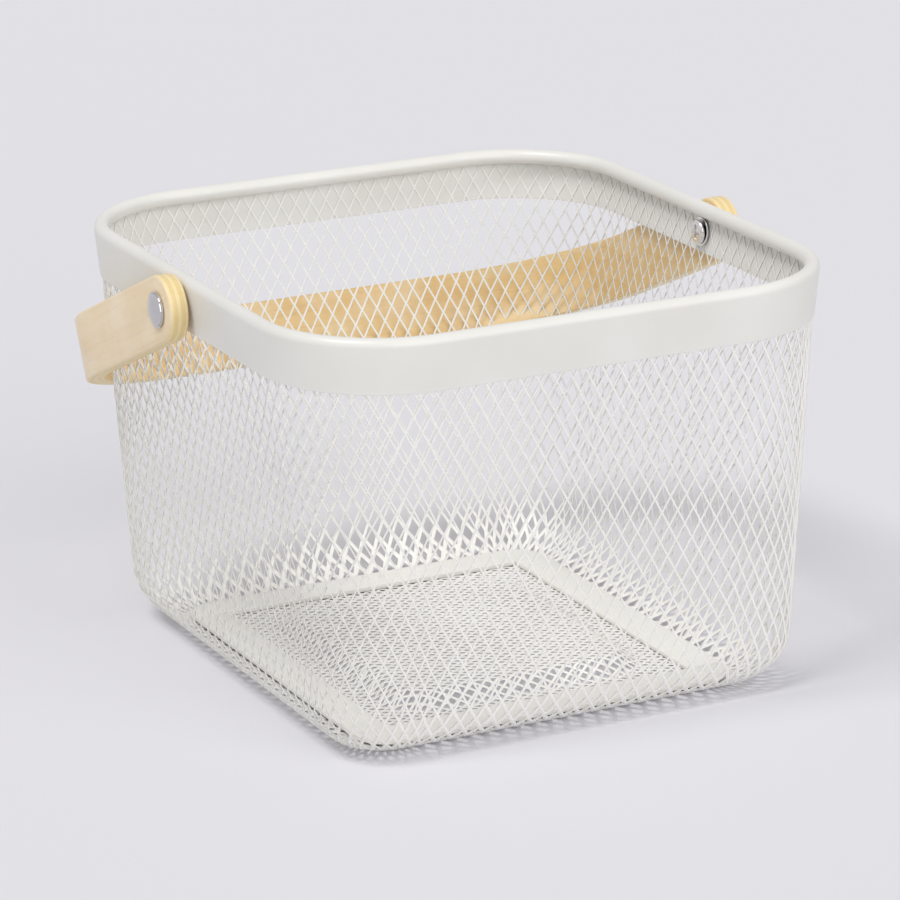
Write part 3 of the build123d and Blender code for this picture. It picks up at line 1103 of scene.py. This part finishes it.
@dataclass
class Strap:
    """The handle: a plywood strap bent to a U, its ends rounded."""

    form: BasketForm = field(default_factory=BasketForm)
    width: float = 0.028
    sheet: float = BirchPlywood.sheet
    side_gap: float = 0.0008
    reach: float = 0.143
    bend_radius: float = 0.060
    rest_angle: float = math.radians(23.6)
    sharp_angle: float = math.radians(60)
    edge_round: float = 0.001
    edge_steps: int = 3
    end_share: float = 0.995
    end_steps: int = 14
    bend_steps: int = 24
    soft_angle: float = 35.0

    @property
    def inner_x(self) -> float:
        """Half the distance between the arms."""
        return self.form.width / 2 + self.side_gap

    @property
    def centre_x(self) -> float:
        """Distance of a bend's centre from the middle."""
        return self.inner_x - self.bend_radius

    @property
    def centre_y(self) -> float:
        """Distance of a bend's centre from the pivots."""
        return self.reach - self.bend_radius

    def places(self, points: np.ndarray) -> np.ndarray:
        """The strap's own coordinates: along it, in from its outer face, across its width.

        Args:
            points: Points of the unturned strap, pivots at the origin.

        Returns:
            The three coordinates of each point.
        """
        outer_radius = self.bend_radius + self.sheet
        over_x = np.abs(points[:, 0]) - self.centre_x
        over_y = points[:, 1] - self.centre_y
        depth = np.where(over_y <= 0, outer_radius - over_x, outer_radius - over_y)
        curved = (over_x > 0) & (over_y > 0)
        depth = np.where(curved, outer_radius - np.hypot(over_x, over_y), depth)
        turn = np.where(curved, np.arctan2(over_y, over_x), 0)
        turn = np.where(over_x <= 0, math.pi / 2, turn)
        along = np.minimum(points[:, 1], self.centre_y) + turn * self.bend_radius
        along += np.maximum(-over_x, 0)
        total = self.centre_y + self.bend_radius * math.pi / 2 + self.centre_x
        along = np.where(points[:, 0] < 0, 2 * total - along, along)
        return np.column_stack([along, depth, points[:, 2]])

    def build(self) -> Workpiece:
        """Bends the strap."""
        half = self.width / 2
        outer_x = self.inner_x + self.sheet
        piece = Workpiece.block("plywood_strap", (self.inner_x, -half, -half), (outer_x, 0, half))
        piece.pick("FACE", lambda face: face.normal.y > FACING)
        piece.run_on((0, self.centre_y, 0))
        piece.turn_on((self.centre_x, self.centre_y, 0), (0, 0, 1), math.pi / 2, self.bend_steps)
        piece.run_on((-self.centre_x, 0, 0))
        piece.run_on((-self.centre_x, 0, 0))
        piece.turn_on((-self.centre_x, self.centre_y, 0), (0, 0, 1), math.pi / 2, self.bend_steps)
        piece.run_on((0, -self.centre_y, 0))
        piece.run_on((0, -half, 0))
        piece.close_up()

        def end_corner(edge: Edge) -> bool:
            at_end = all(abs(vert.co.y + half) < TOUCH for vert in edge.verts)
            return at_end and run_of(edge).x > self.sheet / 2

        piece.pick("EDGE", end_corner)
        piece.round_edges(half * self.end_share, self.end_steps)

        def rim(edge: Edge) -> bool:
            first, last = (vert.co for vert in edge.verts)
            run = run_of(edge)
            crossing = run.x > TOUCH and run.y < TOUCH and abs(first.y) < half
            on_end = (first.y + last.y) / 2 < -TOUCH and run.x < TOUCH
            on_side = abs(abs(first.z) - half) < TOUCH and abs(abs(last.z) - half) < TOUCH
            sharp = len(edge.link_faces) == 2 and edge.calc_face_angle(0) > self.sharp_angle
            return sharp and (on_side or on_end) and not crossing

        piece.pick("EDGE", rim)
        piece.round_edges(self.edge_round, self.edge_steps)
        piece.note_points(BirchPlywood.place_name, self.places)
        piece.smooth(self.soft_angle)
        piece.rotate(-self.rest_angle, "X", (0, 0, 0))
        piece.move((0, self.form.middle_y, self.form.pivot_height))
        return piece


@dataclass
class Pivot:
    """One pivot: domed barrel nut outside, bush, washer and cross recessed screw inside."""

    form: BasketForm = field(default_factory=BasketForm)
    strap: Strap = field(default_factory=Strap)
    side_play: float = 0.0003
    soft: float = 0.0001
    soft_angle: float = 40.0
    facets: int = 56
    nut_radius: float = 0.0076
    nut_rim: float = 0.0008
    nut_step: float = 0.0004
    nut_flange: float = 0.0008
    nut_height: float = 0.0028
    dome_steps: int = 15
    shank_radius: float = 0.003
    bush_radius: float = 0.006
    bush_facets: int = 40
    screw_radius: float = 0.002
    screw_length: float = 0.0045
    head_radius: float = 0.0054
    head_height: float = 0.0016
    crown: float = 0.0013
    crown_steps: int = 12
    crown_power: float = 0.9
    crown_share: float = 0.95
    washer_radius: float = 0.0064
    washer_sheet: float = 0.0008
    washer_gap: float = 0.0004
    washer_facets: int = 48
    inner_depth: float = 0.0021
    recess_length: float = 0.0080
    recess_width: float = 0.0021
    recess_depth: float = 0.0012
    recess_taper: float = 0.62
    recess_margin: float = 0.001
    recess_soft_angle: float = 35.0

    def turned(self, name: str, outline: Sequence[Pair], facets: int) -> Workpiece:
        """Turns an outline of x and radius round the pivot's axis.

        Args:
            name: Name of the piece.
            outline: Points as x and radius, in order.
            facets: Number of facets round the axis.

        Returns:
            The turned piece, at the right pivot.
        """
        pivot_z = self.form.pivot_height
        piece = Workpiece.line(name, [(place_x, 0, pivot_z + radius) for place_x, radius in outline])
        piece.pick_all()
        piece.turn_on((0, 0, pivot_z), (1, 0, 0), 2 * math.pi, facets)
        piece.close_up(WELD_GAP)
        piece.move((0, self.form.middle_y, 0))
        return piece

    def wall_x(self, depth: float) -> float:
        """x of the leaning wall at the pivot's height."""
        drop = self.form.drop_to(self.form.pivot_height, depth)
        return self.form.axis_x + self.form.wall_point(depth, drop)[0]

    def nut(self) -> Workpiece:
        """Barrel nut with a domed head on a thin flange."""
        soft = self.soft
        head_x = self.strap.inner_x + self.strap.sheet + self.side_play
        rim_x = head_x + self.nut_rim
        top_x = head_x + self.nut_height
        cap = self.nut_height - self.nut_rim - self.nut_step
        dome_radius = self.nut_radius - self.nut_flange
        cap_radius = (dome_radius ** 2 + cap ** 2) / 2 / cap
        full = math.asin(dome_radius / cap_radius)
        outline = [(top_x, 0)]
        for number in range(1, self.dome_steps):
            turn = full * number / self.dome_steps
            outline.append((top_x - cap_radius * (1 - math.cos(turn)), cap_radius * math.sin(turn)))
        outline += [(rim_x + self.nut_step, dome_radius), (rim_x, dome_radius + soft)]
        outline += [(rim_x + soft, self.nut_radius - 2 * soft), (rim_x - soft, self.nut_radius)]
        outline += [(head_x + 1.5 * soft, self.nut_radius), (head_x, self.nut_radius - 2 * soft)]
        end_x = self.wall_x(self.inner_depth) + self.shank_radius * math.tan(self.form.lean)
        outline += [(head_x, self.shank_radius), (end_x, self.shank_radius), (end_x, 0)]
        return self.turned("domed_nut_right", outline, self.facets).smooth(self.soft_angle)

    def bush(self) -> Workpiece:
        """Bush between the band and the arm, cut to the band's lean."""
        soft = 3 * self.soft
        lean = self.form.lean
        wall = self.wall_x(0)
        outer_x = self.strap.inner_x - self.side_play
        inner_x = wall - self.bush_radius * math.tan(lean)
        outline = [(inner_x, self.shank_radius), (outer_x, self.shank_radius)]
        outline += [(outer_x, self.bush_radius - soft), (outer_x - soft, self.bush_radius)]
        outline += [(inner_x, self.bush_radius), (inner_x, self.shank_radius)]
        piece = self.turned("pivot_bush_right", outline, self.bush_facets)
        middle = (wall, self.form.middle_y, self.form.pivot_height)
        facing = (-math.cos(lean), 0, math.sin(lean))
        piece.pick_all()
        bpy.ops.mesh.bisect(plane_co=middle, plane_no=facing, clear_outer=True, use_fill=True)
        return piece.smooth(self.soft_angle)

    def washer(self) -> Workpiece:
        """Flat washer on the inside of the mesh."""
        soft = 2 * self.soft
        seat_x = self.wall_x(self.inner_depth)
        low_x = seat_x - self.washer_sheet
        hole = self.screw_radius + self.washer_gap
        rim = self.washer_radius
        outline = [(seat_x, hole), (seat_x, rim - soft), (seat_x - soft, rim), (low_x + soft, rim)]
        outline += [(low_x, rim - soft), (low_x, hole + soft), (low_x + soft, hole), (seat_x, hole)]
        piece = self.turned("flat_washer_right", outline, self.washer_facets)
        piece.rotate(self.form.lean, "Y", (seat_x, self.form.middle_y, self.form.pivot_height))
        return piece.smooth(self.soft_angle)

    def screw(self) -> Workpiece:
        """Pan head screw, its cross recess cut in."""
        slant = self.head_radius * math.tan(self.form.lean)
        seat_x = self.wall_x(self.inner_depth + self.washer_sheet) - slant
        crown_x = seat_x - self.head_height
        outline = [(crown_x, 0)]
        for number in range(1, self.crown_steps):
            turn = math.pi / 2 * number / self.crown_steps
            radius = self.head_radius - self.crown * (1 - math.sin(turn)) ** self.crown_power
            rise = self.crown * (1 - math.cos(turn)) * self.crown_share
            place_x = crown_x + rise + self.soft / 5
            outline.append((place_x, radius))
        outline += [(crown_x + self.crown, self.head_radius), (seat_x - self.soft, self.head_radius)]
        outline += [(seat_x, self.head_radius - self.soft), (seat_x, self.screw_radius)]
        end_x = seat_x + self.screw_length
        outline += [(end_x, self.screw_radius), (end_x, 0)]
        piece = self.turned("cross_screw_right", outline, self.facets)
        middle_y = self.form.middle_y
        pivot_z = self.form.pivot_height
        deep_x = crown_x + self.recess_depth
        taper = (1, self.recess_taper, self.recess_taper)
        halves = (self.recess_length / 2, self.recess_width / 2)
        for wide, high in (halves, halves[::-1]):
            low = (crown_x - self.recess_margin, middle_y - wide, pivot_z - high)
            cutter = Workpiece.block("recess_cutter", low, (deep_x, middle_y + wide, pivot_z + high))
            cutter.pick("FACE", lambda face: face.normal.x > FACING)
            bpy.ops.transform.resize(value=taper, center_override=(deep_x, middle_y, pivot_z))
            piece.modifier("BOOLEAN", operation="DIFFERENCE", object=cutter.object)
            bpy.data.objects.remove(cutter.object)
        return piece.smooth(self.recess_soft_angle)

    def other_side(self, piece: Workpiece, name: str) -> Workpiece:
        """Copies a piece of the right pivot to the left one."""
        copy = piece.copy(name)
        copy.rotate(math.pi, "Z", (0, self.form.middle_y, 0))
        return copy


# Studio


@dataclass(frozen=True)
class Lamp:
    """A far soft lamp: its strength, and in degrees where it stands and how wide it looks."""

    name: str
    strength: float
    azimuth: float
    height: float
    spread: float

    def hang(self) -> None:
        """Adds the lamp."""
        bpy.ops.object.light_add(type="SUN")
        lamp = bpy.context.object
        lamp.name = self.name
        lamp.data.energy = self.strength
        lamp.data.angle = math.radians(self.spread)
        towards = direction(math.radians(self.azimuth), math.radians(self.height))
        lamp.rotation_mode = "QUATERNION"
        lamp.rotation_quaternion = towards.to_track_quat("Z", "Y")


@dataclass(frozen=True)
class Studio:
    """Paper floor, a soft key lamp from the left, a fill from the front, an even sky and the camera."""

    floor_size: float = 30.0
    floor_corners: int = 96
    sky: float = 0.42
    backdrop: Colour = (227, 226, 231)
    key: Lamp = Lamp("key_lamp", 1.47, -76.0, 62.0, 22.0)
    fill: Lamp = Lamp("fill_lamp", 1.30, 8.0, 25.0, 60.0)
    azimuth: float = math.radians(-26.4905)
    elevation: float = math.radians(17.5525)
    roll: float = math.radians(-0.7463)
    distance: float = 1.904275
    aim: Point = (0.0035666, 0.0093708, 0.086538)
    lens: float = 177.314
    film: float = 36.0
    sight: float = 100.0
    middle_y: float = BasketForm.middle_y

    def floor(self) -> None:
        """Lays the paper."""
        Workpiece.clear()
        radius = self.floor_size / 2
        bpy.ops.mesh.primitive_circle_add(vertices=self.floor_corners, radius=radius, fill_type="NGON")
        floor = bpy.context.object
        floor.name = "studio_floor"
        floor.data.materials.append(StudioPaper().material())

    def lights(self) -> None:
        """Hangs the lamps and paints the sky, which eyes and mirrors see in the backdrop's colour."""
        self.key.hang()
        self.fill.hang()
        world = bpy.data.worlds.new("studio_sky")
        bpy.context.scene.world = world
        world.use_nodes = True
        tree = world.node_tree
        tree.nodes.clear()
        mix = tree.nodes.new("ShaderNodeMixShader")
        shades = (((1, 1, 1, 1), self.sky), (tone(*self.backdrop), 1.0))
        for socket, (colour, strength) in enumerate(shades, start=1):
            shade = tree.nodes.new("ShaderNodeBackground")
            shade.inputs["Color"].default_value = colour
            shade.inputs["Strength"].default_value = strength
            tree.links.new(shade.outputs[0], mix.inputs[socket])
        path = tree.nodes.new("ShaderNodeLightPath")
        seen = path.outputs["Is Camera Ray"]
        for ray in ("Is Glossy Ray", "Is Transmission Ray"):
            either = tree.nodes.new("ShaderNodeMath")
            either.operation = "MAXIMUM"
            tree.links.new(seen, either.inputs[0])
            tree.links.new(path.outputs[ray], either.inputs[1])
            seen = either.outputs[0]
        tree.links.new(seen, mix.inputs[0])
        output = tree.nodes.new("ShaderNodeOutputWorld")
        tree.links.new(mix.outputs[0], output.inputs["Surface"])

    def camera(self) -> None:
        """Sets the camera at the photograph's view."""
        bpy.ops.object.camera_add()
        camera = bpy.context.object
        camera.name = "studio_camera"
        back = direction(self.azimuth, self.elevation)
        right = Vector((-back.y, back.x, 0)).normalized()
        above = back.cross(right)
        turned_right = right * math.cos(self.roll) + above * math.sin(self.roll)
        turned_up = above * math.cos(self.roll) - right * math.sin(self.roll)
        facing = Matrix((turned_right, turned_up, back)).transposed()
        stand = Vector(self.aim) + Vector((0, self.middle_y, 0)) + back * self.distance
        camera.matrix_world = Matrix.Translation(stand) @ facing.to_4x4()
        camera.data.sensor_width = self.film
        camera.data.lens = self.lens
        camera.data.clip_end = self.sight
        bpy.context.scene.camera = camera

    def build(self) -> None:
        """Makes the whole studio."""
        self.floor()
        self.lights()
        self.camera()
        bpy.context.scene.view_settings.view_transform = "Standard"


def main() -> None:
    """Builds the basket's pieces in order and dresses them."""
    logging.basicConfig(level=logging.INFO, format="%(name)s %(message)s")
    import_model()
    paint = PowderCoat().material()
    # Painted light: the wall and floor nets wear the band's powder coat painted lighter, to stand in for
    # light lost to shade among their strands
    mesh_paint_lightened = PowderCoat("powder_coat_mesh_painted_lighter", (247, 246, 242), (242, 240, 235)).material()
    # Painted light: the base strips wear the band's powder coat painted a little lighter, standing in
    # for light they don't get
    strip_paint_lightened = PowderCoat("powder_coat_strip_painted_lighter", (238, 237, 232), (233, 232, 226)).material()
    plywood = BirchPlywood().material()
    bright = BRIGHT_PLATING.material()
    zinc = ZINC_PLATING.material()
    form = BasketForm()

    RimBand(form=form).build().hand_over(Body.BASKET, Slot.PAINT, paint, "rim_band")

    sides = ["wall_mesh_" + side for side in ("right", "left", "back", "front", "foot")]
    corners = ("back_right", "back_left", "front_left", "front_right")
    sides += ["wall_mesh_corner_" + corner for corner in corners]
    WallNet(form=form).build().hand_over(Body.BASKET, Slot.PAINT, mesh_paint_lightened, *sides)
    FloorNet(form=form).build().hand_over(Body.BASKET, Slot.PAINT, mesh_paint_lightened, "base_panel")

    for node, strip in BaseFrame(form=form).build().items():
        strip.hand_over(Body.BASKET, Slot.PAINT, strip_paint_lightened, node)

    strap = Strap(form=form)
    strap.build().hand_over(Body.HANDLE, Slot.PLYWOOD, plywood, "handle")

    pivot = Pivot(form=form, strap=strap)
    fittings = (
        (pivot.nut(), "domed_nut_left", "barrel_nut", Slot.BRIGHT, bright),
        (pivot.bush(), "pivot_bush_left", "handle_spacer", Slot.PAINT, paint),
        (pivot.washer(), "flat_washer_left", "pivot_washer", Slot.ZINC, zinc),
        (pivot.screw(), "cross_screw_left", "pivot_screw", Slot.ZINC, zinc),
    )
    for piece, left_name, node, slot, material in fittings:
        left = pivot.other_side(piece, left_name)
        left.hand_over(Body.BASKET, slot, material, node + "_left")
        piece.hand_over(Body.BASKET, slot, material, node + "_right")

    Studio().build()


if __name__ == "__main__":
    main()
